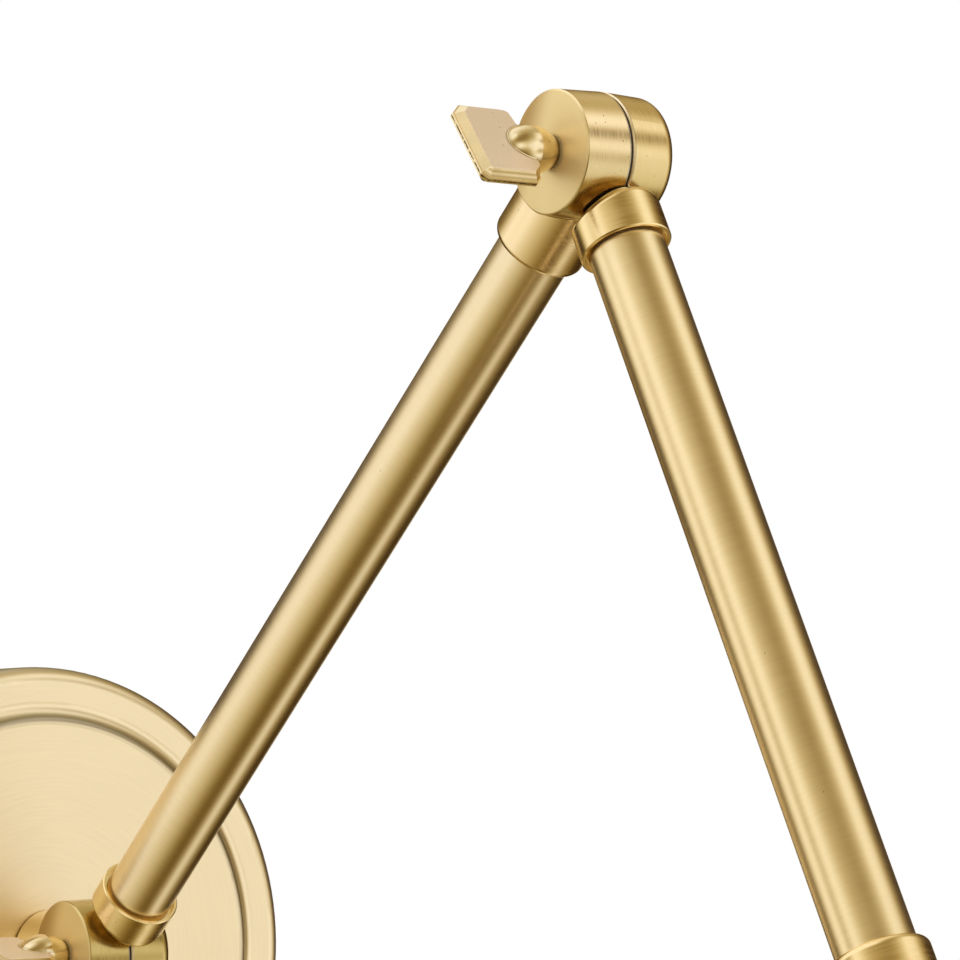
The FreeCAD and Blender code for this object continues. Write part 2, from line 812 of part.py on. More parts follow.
def bevel_blade(body):
    """Bevels the paddle's outer edges, on the straight sides of its two flat faces."""
    half = number("paddle_thickness / 2")
    far = number("paddle_start + paddle_step + paddle_heel_side")
    names = []
    for index, edge in enumerate(body.Shape.Edges, start=1):
        box = edge.BoundBox
        off = max(abs(abs(box.YMin) - half), abs(abs(box.YMax) - half))
        straight = edge.Curve.TypeId == "Part::GeomLine"
        if straight and off < MATCH_TOLERANCE and box.XMax > far - MATCH_TOLERANCE:
            names.append("Edge%d" % index)
    blade = body.Tip
    chamfer = body.newObject("PartDesign::Chamfer", body.Name + "_bevel")
    chamfer.Base = (blade, names)
    bind(chamfer, Size="paddle_bevel")
    settle(body, chamfer, False)


def make_arms():
    """The two straight arm tubes, from socket floor to socket floor."""
    for name, length, spot, tip in (
        ("lower_arm_tube", "lower_length", BASE, LOWER_UP),
        ("upper_arm_tube", "upper_length", ELBOW, UPPER_DOWN),
    ):
        top = length + " - socket_floor"
        ring = ring_corners("tube_radius - tube_wall", "tube_radius", "socket_floor", top)
        place(turned(name, ring), spot, tip)


def make_knuckles():
    """Base, elbow and head knuckles, with their rings, keys and washers."""
    knuckle_half("base_knuckle_inner", BASE, "-90", outer=False, rim="wall_rim_round")
    knuckle_half("base_knuckle_outer", BASE, LOWER_UP, outer=True)
    knuckle_half("elbow_knuckle_inner", ELBOW, LOWER_DOWN, outer=False)
    knuckle_half("elbow_knuckle_outer", ELBOW, UPPER_DOWN, outer=True)
    knuckle_half("head_knuckle_inner", HEAD, UPPER_UP, outer=False)
    knuckle_half("head_knuckle_outer", HEAD, DOWN, outer=True)
    for word, spot in (("base", BASE), ("elbow", ELBOW), ("head", HEAD)):
        make_friction_ring(word + "_friction_ring", spot, "0")
        make_key(word + "_key", spot, word + "_key_angle")


def make_head_stem():
    """Turned stem: a tube's outside above a shoulder, and a hollow thread below it."""
    stem = turned("head_stem", [
        ("nipple_bore", "socket_floor"),
        ("tube_radius", "socket_floor"),
        ("tube_radius", "head_stem_end"),
        ("nipple_radius", "head_stem_end"),
        ("nipple_radius", "head_thread_end"),
        ("nipple_bore", "head_thread_end"),
    ])
    place(stem, HEAD, DOWN)


def make_socket_cup():
    """Spun cap: flat crown, quarter round shoulder and a straight side with a turned-in lip."""
    top = "head_stem_end"
    round_out = "(cup_radius - cup_crown_radius)"
    round_in = "(cup_radius - cup_wall - cup_crown_radius)"
    hole = "nipple_radius + hole_clearance"
    body = turned("socket_cup", [
        (hole, top),
        ("cup_crown_radius", top),
        ("cup_radius", "%s + %s" % (top, round_out)),
        ("cup_radius", "cup_end - cup_lip"),
        ("cup_radius - cup_lip", "cup_end"),
        ("cup_radius - cup_wall - cup_lip", "cup_end"),
        ("cup_radius - cup_wall", "cup_end - cup_lip"),
        ("cup_radius - cup_wall", "%s + %s" % (top, round_out)),
        ("cup_crown_radius", top + " + cup_wall"),
        (hole, top + " + cup_wall"),
    ], {1: (round_out, 1), 7: (round_in, -1)})
    side = new_sketch(body, "switch_hole", "XZ_Plane")
    half = "(bushing_radius + hole_clearance)"
    draw(side, [
        ("-(cup_radius + overrun)", "switch_height - " + half),
        ("-(cup_radius - cup_wall - overrun)", "switch_height - " + half),
        ("-(cup_radius - cup_wall - overrun)", "switch_height + " + half),
        ("-(cup_radius + overrun)", "switch_height + " + half),
    ])
    extrude(body, "switch_cut", "Pocket", side, Length="2 * " + half)
    place(body, HEAD, DOWN)


def make_cup_nut():
    """Nut that holds the cup against the stem's shoulder."""
    nut = hex_nut("cup_locknut", "cup_nut_across", "cup_nut_height", "nipple_radius + running_fit")
    top = "lower_length * sin(lower_angle) - upper_length * cos(upper_angle) - head_stem_end - cup_wall"
    place(nut, (HEAD[0], HEAD[1], top), DOWN)


def make_socket():
    """Ceramic lamp holder with its threaded shell and centre contact."""
    thread = "nipple_radius + running_fit"
    bore = "shell_radius + tube_fit"
    contact_end = "socket_bore_start + contact_height + contact_button_height"
    holder = turned("socket_body", [
        (thread, "socket_start"),
        ("socket_neck_radius", "socket_start"),
        ("socket_neck_radius", "socket_shoulder"),
        ("socket_radius - socket_bevel", "socket_shoulder"),
        ("socket_radius", "socket_shoulder + socket_bevel"),
        ("socket_radius", "socket_end - socket_bevel"),
        ("socket_radius - socket_bevel", "socket_end"),
        (bore, "socket_end"),
        (bore, "socket_bore_start"),
        ("contact_button_radius", "socket_bore_start"),
        ("contact_button_radius", "head_thread_end + socket_bevel"),
        (thread, "head_thread_end + socket_bevel"),
    ])
    place(holder, HEAD, DOWN)
    shell = turned("socket_shell", ring_corners("shell_radius - shell_wall", "shell_radius",
                                                contact_end + " + shell_seat",
                                                "shell_end"))
    place(shell, HEAD, DOWN)
    contact = turned("socket_contact", [
        ("0", "socket_bore_start"),
        ("contact_radius", "socket_bore_start"),
        ("contact_radius", "socket_bore_start + contact_height"),
        ("contact_button_radius", contact_end),
        ("0", contact_end),
    ])
    place(contact, HEAD, DOWN)


def make_shade():
    """Spun shade: flat top, quarter round shoulder, straight cone, short lip and rolled bead."""
    bottom = "(cup_end + shade_height)"
    corner = "(shade_flat_radius + shade_shoulder)"
    cone_top = "(cup_end + shade_shoulder)"
    cone_end = "(%s - shade_lip)" % bottom
    run = "(shade_rim_radius - %s)" % corner
    fall = "(%s - %s)" % (cone_end, cone_top)
    slant = "(shade_wall * sqrt(%s * %s + %s * %s) / %s)" % (run, run, fall, fall, fall)
    hole = "socket_radius + shade_hole_clearance"
    body = turned("shade", [
        (hole, "cup_end"),
        ("shade_flat_radius", "cup_end"),
        (corner, cone_top),
        ("shade_rim_radius", cone_end),
        ("shade_rim_radius", bottom),
        ("shade_rim_radius - shade_wall", bottom),
        ("shade_rim_radius - shade_wall", cone_end + " + shade_wall * lip_step_share"),
        (corner + " - " + slant, cone_top),
        ("shade_flat_radius", "cup_end + shade_wall"),
        (hole, "cup_end + shade_wall"),
    ], {1: ("shade_shoulder", 1)})
    bead = new_sketch(body, "bead_outline", "XZ_Plane")
    draw_circle(bead, "shade_rim_radius - shade_wall / 2", bottom, "shade_bead_radius")
    feature = body.newObject("PartDesign::Revolution", "shade_bead")
    feature.Profile = bead
    feature.ReferenceAxis = (bead, ["V_Axis"])
    feature.Angle = FULL_TURN
    settle(body, feature, True)
    place(body, HEAD, DOWN)


def make_shade_ring():
    """Threaded ring with finger ribs that clamps the shade to the cup."""
    low = "cup_end + shade_wall"
    high = "(cup_end + shade_wall + shade_ring_height)"
    body = turned("shade_ring", [
        ("socket_radius + running_fit", low),
        ("shade_ring_radius", low),
        ("shade_ring_radius", high + " - shade_ring_bevel"),
        ("shade_ring_radius - shade_ring_bevel", high),
        ("socket_radius + running_fit", high),
    ])
    rib = new_sketch(body, "rib", "XY_Plane")
    draw_circle(rib, "shade_ring_radius + shade_ring_rib_radius / 2", "0", "shade_ring_rib_radius")
    cut = extrude(body, "rib_cut", "Pocket", rib)
    repeat(body, "ribs", cut, "Z_Axis", RING_RIBS)
    place(body, HEAD, DOWN)


def aside(thing):
    """Puts a piece of the switch, made along its own Z, on the cup's side and pointing to -X."""
    height = "%s - switch_height" % HEAD[2]
    spot = "create(<<vector>>; %s)" % bound("0; %s; %s" % (HEAD[1], height))
    turn = "create(<<rotation>>; create(<<vector>>; 0; 1; 0); %d)" % -90
    thing.setExpression("Placement", "create(<<placement>>; %s; %s)" % (spot, turn))


def make_switch():
    """Rotary switch: threaded bushing, thin nut, and a fluted knob with its spindle."""
    spindle_bore = "spindle_radius + running_fit"
    bushing = turned("switch_bushing", ring_corners(spindle_bore, "bushing_radius",
                                                    "socket_radius + side_clearance", "bushing_reach"))
    aside(bushing)

    nut = hex_nut("switch_nut", "switch_nut_across", "switch_nut_height", "bushing_radius + running_fit")
    height = "%s - switch_height" % HEAD[2]
    spot = "create(<<vector>>; %s)" % bound("-(cup_radius + tube_fit); %s; %s" % (HEAD[1], height))
    turn = "create(<<rotation>>; create(<<vector>>; 0; 1; 0); %d)" % -90
    nut.setExpression("Placement", "create(<<placement>>; %s; %s)" % (spot, turn))

    face = "(knob_start + knob_length)"
    recess = "bushing_radius + knob_recess_clearance"
    inner = "(knob_start + knob_recess_depth)"
    knob = turned("switch_knob", [
        ("0", "socket_radius + side_clearance"),
        ("spindle_radius", "socket_radius + side_clearance"),
        ("spindle_radius", inner),
        (recess, inner),
        (recess, "knob_start"),
        ("knob_radius", "knob_start"),
        ("knob_radius - knob_taper", face + " - knob_round"),
        ("knob_radius - knob_taper - knob_round", face),
        ("0", face),
    ], {6: ("knob_round", 1)})
    flute = new_sketch(knob, "flute", "XY_Plane")
    draw_circle(flute, "knob_radius + knob_flute_radius * flute_offset_share", "0", "knob_flute_radius")
    cut = extrude(knob, "flute_cut", "Pocket", flute)
    repeat(knob, "flutes", cut, "Z_Axis", KNOB_FLUTES)
    aside(knob)


def check_and_write():
    """Stops on any failed object or bad shape, then writes each sub-part as its own file."""
    doc.recompute()
    failed = [thing.Name for thing in doc.Objects if {"Invalid", "Error"} & set(thing.State)]
    if failed:
        raise RuntimeError("failed objects: " + ", ".join(failed))
    for node in nodes:
        if node.Shape.isNull() or not node.Shape.isValid() or not node.Shape.Solids:
            raise RuntimeError("bad shape: " + node.Label)
    os.makedirs("parts", exist_ok=True)
    for node in nodes:
        node.Shape.exportStep("parts/%s.step" % node.Label)
        box = node.Shape.BoundBox
        print("%-24s solids %d volume %10.1f  x %7.1f %7.1f  y %7.1f %7.1f  z %7.1f %7.1f" % (
            node.Label, len(node.Shape.Solids), node.Shape.Volume,
            box.XMin, box.XMax, box.YMin, box.YMax, box.ZMin, box.ZMax))


fill_sheet()
make_backplate()
make_crossbar()
make_ground_screw()
make_side_screws()
make_stem_parts()
make_knuckles()
make_arms()
make_head_stem()
make_socket_cup()
make_cup_nut()
make_socket()
make_shade()
make_shade_ring()
make_switch()
check_and_write()
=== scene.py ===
import math

import bpy
import numpy as np
from mathutils import Matrix, Vector


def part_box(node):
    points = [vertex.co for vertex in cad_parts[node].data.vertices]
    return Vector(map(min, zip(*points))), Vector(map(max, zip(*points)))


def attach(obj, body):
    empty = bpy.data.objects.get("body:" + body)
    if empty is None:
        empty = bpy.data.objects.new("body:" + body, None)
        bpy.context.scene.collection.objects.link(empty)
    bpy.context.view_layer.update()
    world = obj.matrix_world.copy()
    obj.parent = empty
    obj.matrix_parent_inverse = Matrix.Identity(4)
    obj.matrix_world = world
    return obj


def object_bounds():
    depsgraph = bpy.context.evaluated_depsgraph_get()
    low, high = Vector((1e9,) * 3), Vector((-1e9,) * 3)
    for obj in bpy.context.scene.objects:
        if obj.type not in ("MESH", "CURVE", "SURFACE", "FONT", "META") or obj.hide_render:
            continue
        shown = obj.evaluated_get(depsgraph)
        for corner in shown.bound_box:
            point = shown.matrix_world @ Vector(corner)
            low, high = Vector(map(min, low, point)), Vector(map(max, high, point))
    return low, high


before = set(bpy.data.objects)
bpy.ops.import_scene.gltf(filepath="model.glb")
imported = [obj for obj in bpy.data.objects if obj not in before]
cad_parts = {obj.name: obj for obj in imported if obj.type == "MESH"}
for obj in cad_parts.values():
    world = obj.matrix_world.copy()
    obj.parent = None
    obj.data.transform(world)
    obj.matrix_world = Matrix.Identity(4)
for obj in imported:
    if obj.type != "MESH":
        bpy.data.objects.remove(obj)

MM = 0.001
cad_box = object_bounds()

# camera, measured from the arms, knuckles and backplate in the photograph
CAMERA_SPOT = Vector((-0.43916, -0.79003, 0.03495))
CAMERA_AZIMUTH = math.radians(-36.019)
CAMERA_ELEVATION = math.radians(-4.281)
CAMERA_ROLL = math.radians(-0.7234)
CAMERA_LENS = 151.53
CAMERA_SENSOR = 36.0
CAMERA_NEAR = 0.01
CAMERA_FAR = 50.0

# studio: azimuth and elevation in degrees, sharpness and level of each soft light; below 0 a dark card
SOFT_LIGHTS = [
    (48, -28, 6.4, 1.60),
    (165, 48, 2.9, 1.52),
    (141, -3, 31, 1.44),
    (-120, 11, 3.5, 1.41),
    (18, 11, 7.0, 1.32),
    (28, -9, 49, -1.30),
    (41, 26, 61, -1.28),
    (-117, 8, 49, -1.28),
    (-35, 8, 19, 1.19),
    (148, -45, 20, 1.14),
    (151, 13, 2.5, -1.03),
    (49, 42, 19, 1.03),
    (70, -51, 64, -1.00),
    (95, -65, 46, 0.99),
    (-84, 61, 32, 0.85),
    (-172, 3, 18, -0.83),
    (-105, -48, 7.8, 0.42),
]
ROOM_LEVEL = 0.03
DARKEST = 0.04
BRIGHTEST = 1.15
# green and blue are a share of a power of the level: what the metal mirrors is warmer where it is dimmer
GREEN_SHARE = 0.97
GREEN_POWER = 1.25
BLUE_SHARE = 0.88
BLUE_POWER = 2.05
PLAIN_LIGHT = (0.85, 0.85, 0.85, 1.0)
WHITE = (1.0, 1.0, 1.0, 1.0)
FLOOR_DROP = 0.10
FLOOR_SIDE = 3.0
FLOOR_PAINT = (0.88, 0.88, 0.87, 1.0)
FLOOR_ROUGH = 0.8

# brush marks: width across a mark, reach along it and detail of the noise; then how deep they are
FINE_MARKS = (0.22 * MM, 4.0 * MM, 2.0)
BROAD_MARKS = (0.5 * MM, 9.0 * MM, 3.0)
MARK_DEPTH = 0.005 * MM
SOFT_DEPTH = 0.0015 * MM

# the part of a noise's range that a mix spreads out
NOISE_LOW = 0.35
NOISE_HIGH = 0.65

# grain, patches and pits: the reach of a pit is a share of their spacing, its sink a height of the marks;
# then the share of places that hold a pit, and the size of the grain
GRAIN_DETAIL = 4.0
PATCH_SCALE = 0.12
PATCH_DETAIL = 2.0
PIT_SPACING = 1.1 * MM
PIT_REACH = 0.11
PIT_SINK = 2.0
SATIN_PITS = 0.05
TUBE_PITS = 0.02
KNUCKLE_PITS = 0.12
CAST_PITS = 0.25
BRASS_GRAIN = 2.4 * MM
CAST_GRAIN = 0.55 * MM

# satin brass: the tone of each group of pieces, and the roughness of its smoothest and roughest patches
PLATE_TONE = (0.97, 0.815, 0.545, 1.0)
TUBE_TONE = (0.95, 0.79, 0.51, 1.0)
UPPER_TUBE_TONE = (0.95, 0.77, 0.45, 1.0)
BASE_TONE = (0.93, 0.735, 0.38, 1.0)
ELBOW_INNER_TONE = (0.95, 0.755, 0.44, 1.0)
KNUCKLE_TONE = (0.95, 0.74, 0.385, 1.0)
HEAD_TONE = (0.95, 0.775, 0.52, 1.0)
SATIN = (0.2, 0.28)
TUBE_SATIN = (0.29, 0.31)
PLATE_SATIN = (0.34, 0.35)
SHADE_SATIN = (0.28, 0.32)

# shades of a tone, as one share of it or as a share each of its red, green and blue; then what the
# marks and the patches weigh in a mix of the two
STREAK_SHADE = 0.96
PIT_SHADE = 0.35
SEAM_SHADE = 0.35
# painted shade at the foot of the backplate's step and at its outer edge
STEP_PAINTED_SHADE = 0.42
# painted shade in the knuckles' crevices towards the collars
CREVICE_PAINTED_SHADE = (0.58, 0.55, 0.38)
# painted shade on one side of the knuckles' flat faces
FACE_PAINTED_SHADE = (0.60, 0.49, 0.30)
STREAK_WEIGHT = 0.65
PATCH_WEIGHT = 0.35

# knuckles: drum, flat face with painted shade on one side, painted shade in the crevices towards the
# collars, painted highlight on the lip, seam at the parting line
DRUM_RADIUS = 11.7 * MM
FACE_START = 9.6 * MM
FACE_TURN = math.radians(40.0)
FACE_TONE = (1.0, 0.805, 0.41, 1.0)
FACE_COVER = 0.8
FACE_ROUGH = 0.46
FACE_METAL = 0.8
# painted shade on one side of the flat face: its way, and where it starts and stops
FACE_DARK_WAY = Vector((0.0, 0.9, 0.43))
FACE_DARK_START = 2.6 * MM
FACE_DARK_STOP = 9.8 * MM
CREVICE_START = 3.0 * MM
CREVICE_STOP = 12.0 * MM
# painted highlight on the lip at the parting line
LIP_PAINTED_HIGHLIGHT = (0.97, 0.81, 0.54, 1.0)
LIP_ROUGH = 0.38
LIP_END = 0.55 * MM
SEAM_HALF = 0.06 * MM

# backplate: painted shade as a dark ring at the foot of the step, and a dark outer edge
RECESS_RADIUS = 50.2 * MM
RECESS_HALF = 1.8 * MM
EDGE_START = 59.5 * MM
EDGE_END = 61.4 * MM

# shade: the middle of its wall, measured down from the head's hinge line, and the enamel inside it
SHADE_FLAT = 24.0 * MM
SHADE_TOP = 80.55 * MM
SHOULDER_END = 88.0 * MM
SHOULDER_ROUND = 7.45 * MM
CONE_SLOPE = 0.625
CONE_RUN = 45.0 * MM
RIM_BEAD_START = 162.3 * MM
ENAMEL = (0.82, 0.82, 0.80, 1.0)
ENAMEL_ROUGH = 0.35

# keys: half thickness, heel and bevel of the blade, and the two circles that the boss is turned from
PADDLE_FACE = 1.9 * MM
PADDLE_HEEL = 15.1 * MM
PADDLE_SLACK = 0.05 * MM
LOWER_BEVEL = 6.95 * MM
BOSS_SWELL = 14.6 * MM
BOSS_ROUND = 7.1 * MM
BOSS_SINK = 2.6 * MM
NOSE_MIDDLE = 16.55 * MM
NOSE_ROUND = 3.85 * MM
NOSE_START = 18.86 * MM

# bead where the boss meets the blade
BEAD_FROM = 15.5 * MM
BEAD_TO = 19.9 * MM
BEAD_RADIUS = 0.17 * MM
BEAD_STEPS = 61
BEAD_SIDES = 12

# cast brass of the keys: polished forms, sandy faces, parting line, painted shade in stripes on the lower
# bevel, painted shade at the rim and crease by the bead
CAST_TONE = (0.93, 0.76, 0.46, 1.0)
CAST_SHADE = 0.88
CAST_PIT_SHADE = 0.45
CAST_SATIN = (0.16, 0.26)
CAST_DEPTH = 0.03 * MM
POLISHED_DEPTH = 0.2 * CAST_DEPTH
BOSS_DEPTH = 0.15 * MM
SANDY_TONE = (1.0, 0.845, 0.69, 1.0)
SANDY_SHADE = 0.90
SANDY_ROUGH = 0.50
PARTING_HALF = 0.16 * MM
PARTING_GRAIN = (0.40, 0.50)
PARTING_TONE = (0.10, 0.065, 0.02, 1.0)
# painted shade in stripes on the lower bevel: stripe spacing, cover and shade
BEVEL_STRIPE_TURNS = 2 * math.pi / (0.62 * MM)
BEVEL_STRIPE_COVER = (0.15, 0.85)
BEVEL_PAINTED_SHADE = (0.55, 0.48, 0.30)
RIM_END = 0.38 * MM
RIM_COVER = 0.6
# painted shade on the sandy face round the bead
RIM_PAINTED_SHADE = 0.40
CREASE_START = 2.1 * MM
CREASE_END = 2.5 * MM
CREASE_COVER = 0.5
# painted shade on the boss just above the bead
CREASE_PAINTED_SHADE = 0.45

# plain finishes: dark and light tone, metal, range of roughness, size and depth of the grain
ZINC_STEEL = ((0.55, 0.56, 0.58, 1.0), (0.72, 0.73, 0.75, 1.0), 1.0, (0.3, 0.5), 0.8 * MM, 0.01 * MM)
EARTH_GREEN = ((0.02, 0.16, 0.05, 1.0), (0.04, 0.28, 0.09, 1.0), 0.5, (0.3, 0.5), 0.5 * MM, 0.01 * MM)
GLAZED_CERAMIC = ((0.80, 0.79, 0.76, 1.0), (0.88, 0.87, 0.85, 1.0), 0.0, (0.10, 0.2), 2.0 * MM, 0.02 * MM)
BARE_BRASS = ((0.80, 0.60, 0.30, 1.0), (0.90, 0.72, 0.42, 1.0), 1.0, (0.2, 0.4), 0.5 * MM, 0.01 * MM)
# dark brass of the key washers: painted shade in the gap behind each boss
WASHER_PAINTED_SHADE = ((0.10, 0.07, 0.03, 1.0), (0.30, 0.22, 0.10, 1.0), 1.0, (0.3, 0.5), 0.3 * MM, 0.02 * MM)
RING_FIBRE = ((0.02, 0.018, 0.015, 1.0), (0.05, 0.04, 0.03, 1.0), 0.0, (0.5, 0.7), 0.4 * MM, 0.01 * MM)
BEAD_DARK_SHADE = 0.9
BEAD_SATIN = (0.14, 0.24)
BEAD_GRAIN = 0.4 * MM
BEAD_DEPTH = 0.004 * MM

ACROSS = Vector((1.0, 0.0, 0.0))
OUT = Vector((0.0, -1.0, 0.0))
DOWN = Vector((0.0, 0.0, -1.0))
FACE_ALONG = Vector((0.0, math.sin(FACE_TURN), math.cos(FACE_TURN)))
FACE_OVER = Vector((0.0, math.cos(FACE_TURN), -math.sin(FACE_TURN)))


def middle_of(name):
    """Middle of a node's box at rest."""
    low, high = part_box(name)
    return (low + high) / 2


def hinge_spot(joint):
    """Where a joint's hinge line crosses the lamp's middle plane, from its friction ring."""
    middle = middle_of(joint + "_friction_ring")
    return Vector((0.0, middle.y, middle.z))


BASE = hinge_spot("base")
ELBOW = hinge_spot("elbow")
HEAD = hinge_spot("head")
LOWER = (ELBOW - BASE).normalized()
UPPER = (HEAD - ELBOW).normalized()

# each joint's hinge, the ways to its inner and outer half's collars, and its blade's lean in degrees
JOINTS = [
    ("base", BASE, OUT, LOWER, -74.0),
    ("elbow", ELBOW, -LOWER, UPPER, -34.0),
    ("head", HEAD, -UPPER, DOWN, -12.0),
]


def place_camera():
    """Camera at the photograph's viewing angle."""
    turn, rise = CAMERA_AZIMUTH, CAMERA_ELEVATION
    back = Vector((math.sin(turn) * math.cos(rise), -math.cos(turn) * math.cos(rise), math.sin(rise)))
    level = Vector((math.cos(turn), math.sin(turn), 0.0))
    plumb = back.cross(level)
    right = level * math.cos(CAMERA_ROLL) + plumb * math.sin(CAMERA_ROLL)
    up = plumb * math.cos(CAMERA_ROLL) - level * math.sin(CAMERA_ROLL)
    lens = bpy.data.cameras.new("camera")
    lens.sensor_width = CAMERA_SENSOR
    lens.lens = CAMERA_LENS
    lens.clip_start = CAMERA_NEAR
    lens.clip_end = CAMERA_FAR
    camera = bpy.data.objects.new("camera", lens)
    turned = Matrix((right, up, back)).transposed().to_4x4()
    camera.matrix_world = Matrix.Translation(CAMERA_SPOT) @ turned
    bpy.context.scene.collection.objects.link(camera)
    bpy.context.scene.camera = camera


def node(tree, kind, **settings):
    """A node of the kind, with the settings as its properties."""
    made = tree.nodes.new(kind)
    for name, value in settings.items():
        setattr(made, name, value)
    return made


def feed(tree, socket, value):
    """Gives a socket a plain value or links an output to it; None leaves it alone."""
    if value is None:
        return
    if isinstance(value, bpy.types.NodeSocket):
        tree.links.new(value, socket)
    else:
        socket.default_value = value


def math_node(tree, operation, first, second=None, third=None):
    """A Math node whose inputs are numbers or other nodes' outputs."""
    made = node(tree, "ShaderNodeMath", operation=operation)
    for socket, value in zip(made.inputs, (first, second, third)):
        feed(tree, socket, value)
    return made.outputs[0]


def times(tree, first, second):
    """Product of two numbers."""
    return math_node(tree, "MULTIPLY", first, second)


def vector_node(tree, operation, first, second=None, scale=None):
    """A Vector Math node whose inputs are vectors or other nodes' outputs."""
    made = node(tree, "ShaderNodeVectorMath", operation=operation)
    feed(tree, made.inputs[0], first)
    feed(tree, made.inputs[1], second)
    if scale is not None:
        feed(tree, made.inputs["Scale"], scale)
    return made.outputs["Value" if operation in ("DOT_PRODUCT", "LENGTH") else "Vector"]


def along(tree, away, way):
    """How far a vector reaches in a way."""
    return vector_node(tree, "DOT_PRODUCT", away, way)


def radius_about(tree, away, axis):
    """Distance from an axis that runs along X, Y or Z."""
    kept = [1.0 - abs(part) for part in axis]
    return vector_node(tree, "LENGTH", vector_node(tree, "MULTIPLY", away, kept))


def object_place(tree):
    """The point of the surface, in object coordinates."""
    return node(tree, "ShaderNodeTexCoord").outputs["Object"]


def away_from(tree, spot):
    """The vector from a spot to the point of the surface."""
    return vector_node(tree, "SUBTRACT", object_place(tree), spot)


def mix_numbers(tree, share, first, second):
    """first where the share is 0, second where it is 1."""
    mix = node(tree, "ShaderNodeMix", data_type="FLOAT")
    for index, value in ((0, share), (2, first), (3, second)):
        feed(tree, mix.inputs[index], value)
    return mix.outputs[0]


def mix_colours(tree, share, first, second):
    """first where the share is 0, second where it is 1."""
    mix = node(tree, "ShaderNodeMix", data_type="RGBA")
    for index, value in ((0, share), (6, first), (7, second)):
        feed(tree, mix.inputs[index], value)
    return mix.outputs[2]


def ramp(tree, value, start, stop, low=0.0, high=1.0):
    """Runs smoothly from low to high while the value runs from start to stop."""
    made = node(tree, "ShaderNodeMapRange", interpolation_type="SMOOTHSTEP")
    feed(tree, made.inputs["Value"], value)
    for label, number in (("From Min", start), ("From Max", stop), ("To Min", low), ("To Max", high)):
        made.inputs[label].default_value = number
    return made.outputs[0]


def shade_of(colour, share):
    """The colour at a share of its brightness, or at a share each of its red, green and blue."""
    shares = share if isinstance(share, tuple) else (share, share, share)
    return (colour[0] * shares[0], colour[1] * shares[1], colour[2] * shares[2], 1.0)


def direction(azimuth, elevation):
    """Unit vector: azimuth from -Y towards +X, elevation up, both in degrees."""
    turn, rise = math.radians(azimuth), math.radians(elevation)
    return Vector((math.cos(rise) * math.sin(turn), -math.cos(rise) * math.cos(turn), math.sin(rise)))


def light_studio():
    """World: even light for plain surfaces, soft lights and dark cards for what metal mirrors, white behind.

    A soft light's level falls off as e to the power of its sharpness times the cosine of the
    angle from its middle less 1.
    """
    world = bpy.data.worlds.new("studio")
    bpy.context.scene.world = world
    world.use_nodes = True
    tree = world.node_tree
    tree.nodes.clear()
    seen = node(tree, "ShaderNodeTexCoord").outputs["Generated"]
    level = ROOM_LEVEL
    for azimuth, elevation, sharpness, strength in SOFT_LIGHTS:
        facing = along(tree, seen, direction(azimuth, elevation))
        spread = times(tree, math_node(tree, "SUBTRACT", facing, 1.0), sharpness)
        level = math_node(tree, "MULTIPLY_ADD", math_node(tree, "EXPONENT", spread), strength, level)
    level = math_node(tree, "MINIMUM", math_node(tree, "MAXIMUM", level, DARKEST), BRIGHTEST)
    tone = node(tree, "ShaderNodeCombineColor")
    feed(tree, tone.inputs[0], level)
    feed(tree, tone.inputs[1], times(tree, math_node(tree, "POWER", level, GREEN_POWER), GREEN_SHARE))
    feed(tree, tone.inputs[2], times(tree, math_node(tree, "POWER", level, BLUE_POWER), BLUE_SHARE))
    rays = node(tree, "ShaderNodeLightPath").outputs
    around = mix_colours(tree, rays["Is Glossy Ray"], PLAIN_LIGHT, tone.outputs[0])
    glow = node(tree, "ShaderNodeBackground")
    feed(tree, glow.inputs["Color"], mix_colours(tree, rays["Is Camera Ray"], around, WHITE))
    out = node(tree, "ShaderNodeOutputWorld")
    feed(tree, out.inputs["Surface"], glow.outputs[0])


def new_material(name):
    """An empty material with one Principled shader."""
    material = bpy.data.materials.new(name)
    material.use_nodes = True
    tree = material.node_tree
    tree.nodes.clear()
    shader = node(tree, "ShaderNodeBsdfPrincipled")
    out = node(tree, "ShaderNodeOutputMaterial")
    feed(tree, out.inputs["Surface"], shader.outputs[0])
    return material, tree, shader


def lay_floor():
    """Plain pale floor below the lamp, kept out of the metal's reflections."""
    low = cad_box[0][2] - FLOOR_DROP
    half = FLOOR_SIDE / 2
    corners = [(-half, -half, low), (half, -half, low), (half, half, low), (-half, half, low)]
    mesh = bpy.data.meshes.new("floor")
    mesh.from_pydata(corners, [], [(0, 1, 2, 3)])
    floor = bpy.data.objects.new("floor", mesh)
    bpy.context.scene.collection.objects.link(floor)
    floor.visible_glossy = False
    material, _, shader = new_material("floor_paint")
    shader.inputs["Base Color"].default_value = FLOOR_PAINT
    shader.inputs["Roughness"].default_value = FLOOR_ROUGH
    mesh.materials.append(material)


def new_group(name, kind, inputs, outputs):
    """A node group with inputs of one kind and numbers out; returns it with its input and output nodes."""
    group = bpy.data.node_groups.new(name, "ShaderNodeTree")
    for label in inputs:
        group.interface.new_socket(label, in_out="INPUT", socket_type=kind)
    for label in outputs:
        group.interface.new_socket(label, in_out="OUTPUT", socket_type="NodeSocketFloat")
    return group, node(group, "NodeGroupInput"), node(group, "NodeGroupOutput")


def brush_marks(group, made, slow, axis, line):
    """Two noises stretched along the marks: a fine one for the height, a broader one for the tone."""
    for label, (pitch, reach, detail) in (("Height", FINE_MARKS), ("Tone", BROAD_MARKS)):
        run = vector_node(group, "SCALE", slow, scale=1.0 / reach)
        step = vector_node(group, "SCALE", axis, scale=math_node(group, "DIVIDE", line, pitch))
        noise = node(group, "ShaderNodeTexNoise")
        feed(group, noise.inputs["Vector"], vector_node(group, "ADD", run, step))
        noise.inputs["Scale"].default_value = 1.0
        noise.inputs["Detail"].default_value = detail
        feed(group, made.inputs[label], noise.outputs[0])


